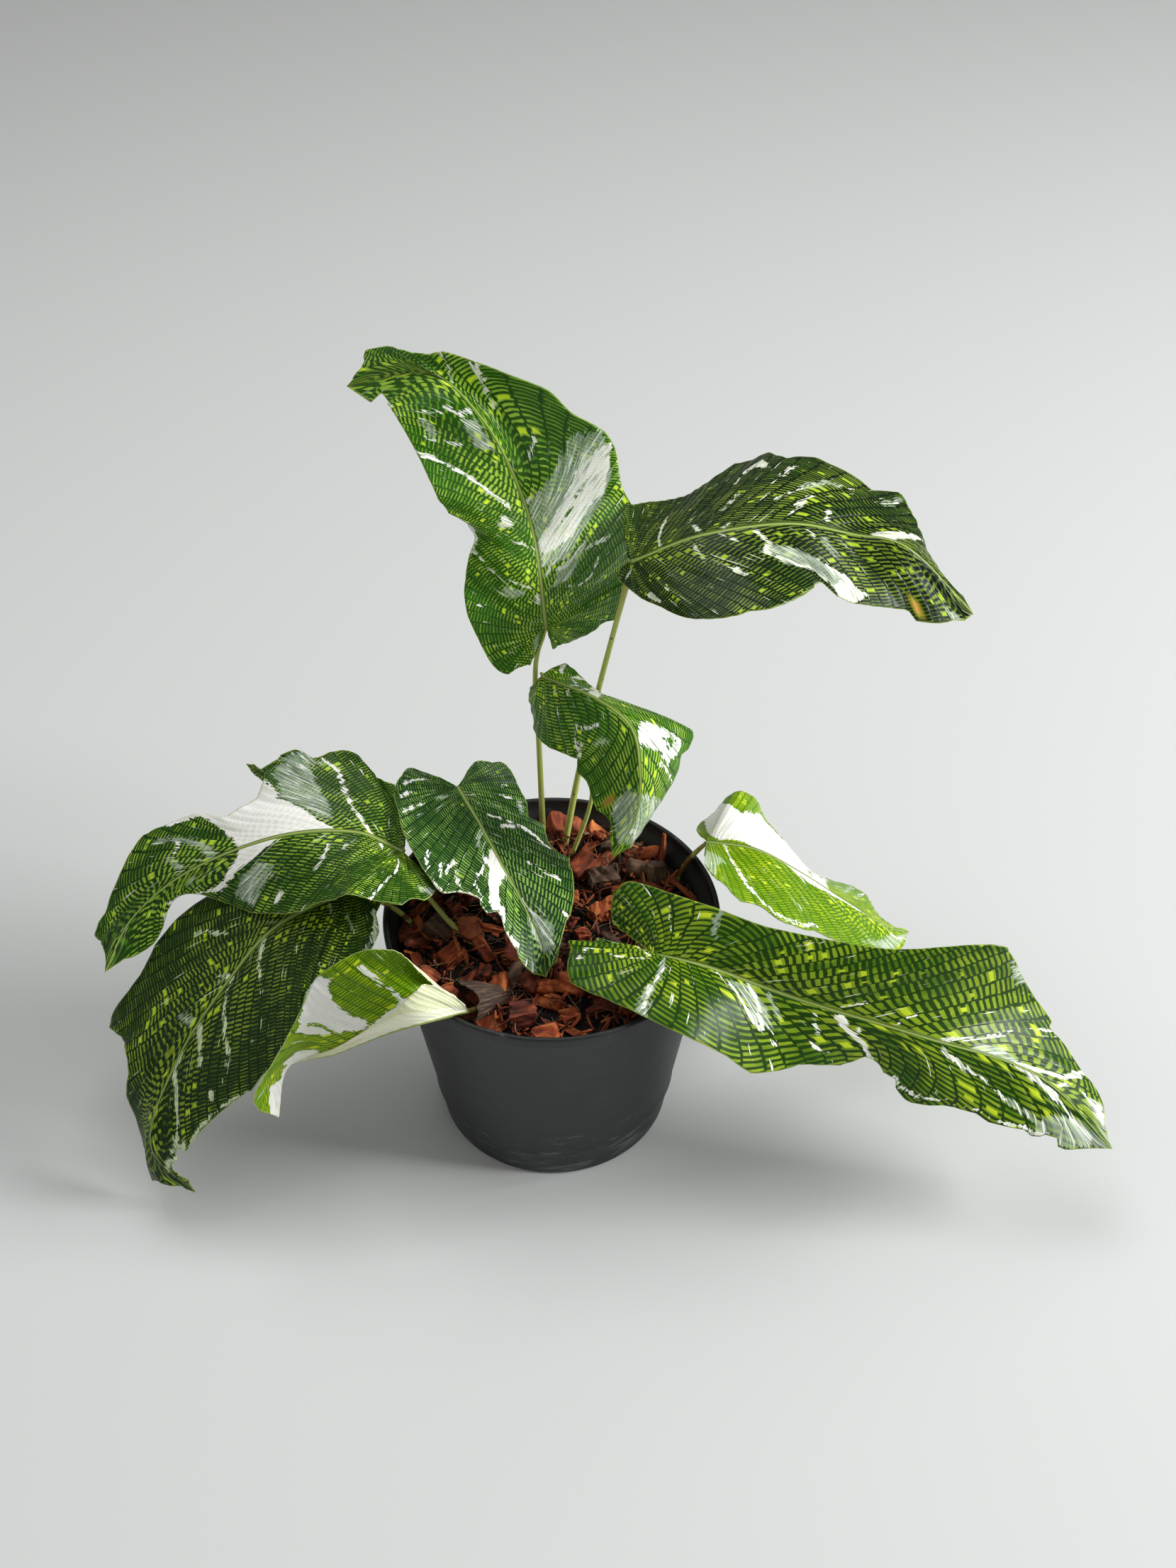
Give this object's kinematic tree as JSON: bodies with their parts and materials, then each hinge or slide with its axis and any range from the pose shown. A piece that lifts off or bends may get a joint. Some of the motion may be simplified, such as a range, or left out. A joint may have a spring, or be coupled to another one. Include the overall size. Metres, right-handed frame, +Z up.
{
  "type": "potted plant",
  "caption": "Variegated network-leaf calathea: broad net-patterned green leaves with white and cream sectors on slender stems, growing from a bark mix in a plain tapered nursery pot.",
  "frame": {"origin": "centre of the flat underside of the pot, on the surface it stands on", "axes": "+Z up out of the pot, -Y towards the front that the plant is seen from, +X to the right of that view"},
  "size_m": [0.4513, 0.1881, 0.3664],
  "materials": {
    "black_polypropylene": "matte",
    "dark_bark_mix": "matte",
    "leaf_green": "satin",
    "leaf_cream": "satin",
    "stem_green": "satin",
    "dry_sheath": "matte",
    "coir_husk": "matte"
  },
  "bodies": {
    "root": {"husk_chip_01": "coir_husk", "husk_chip_02": "coir_husk", "husk_chip_03": "coir_husk", "husk_chip_04": "coir_husk", "husk_chip_05": "coir_husk", "husk_chip_06": "coir_husk", "husk_chip_07": "coir_husk", "husk_chip_08": "coir_husk", "husk_chip_09": "coir_husk", "husk_chip_10": "coir_husk", "husk_chip_11": "coir_husk", "husk_chip_12": "coir_husk", "husk_chip_13": "coir_husk", "husk_chip_14": "coir_husk", "husk_chip_15": "coir_husk", "husk_chip_16": "coir_husk", "husk_chip_17": "coir_husk", "husk_chip_18": "coir_husk", "husk_chip_19": "coir_husk", "husk_chip_20": "coir_husk", "husk_chip_21": "coir_husk", "husk_chip_22": "coir_husk", "husk_chip_23": "coir_husk", "husk_chip_24": "coir_husk", "husk_chip_25": "coir_husk", "husk_chip_26": "coir_husk", "husk_chip_27": "coir_husk", "husk_chip_28": "coir_husk", "husk_chip_29": "coir_husk", "husk_chip_30": "coir_husk", "husk_chip_31": "coir_husk", "husk_shard": "coir_husk", "leaf_arched": "leaf_green", "leaf_back_left": "leaf_green", "leaf_centre": "leaf_green", "leaf_cream_young": "leaf_cream", "leaf_high_right": "leaf_green", "leaf_lime_right": "leaf_green", "leaf_long_right": "leaf_green", "leaf_low_left": "leaf_green", "leaf_tall": "leaf_green", "leaf_white_sector": "leaf_green", "nursery_pot": "black_polypropylene", "old_leaf_stub": "dry_sheath", "papery_bract": "dry_sheath", "potting_mix": "dark_bark_mix", "stem_arched": "stem_green", "stem_back_left": "stem_green", "stem_centre": "stem_green", "stem_cream_young": "stem_green", "stem_high_right": "stem_green", "stem_lime_right": "stem_green", "stem_long_right": "stem_green", "stem_low_left": "stem_green", "stem_tall": "stem_green", "stem_white_sector": "stem_green"}
  },
  "joints": []
}
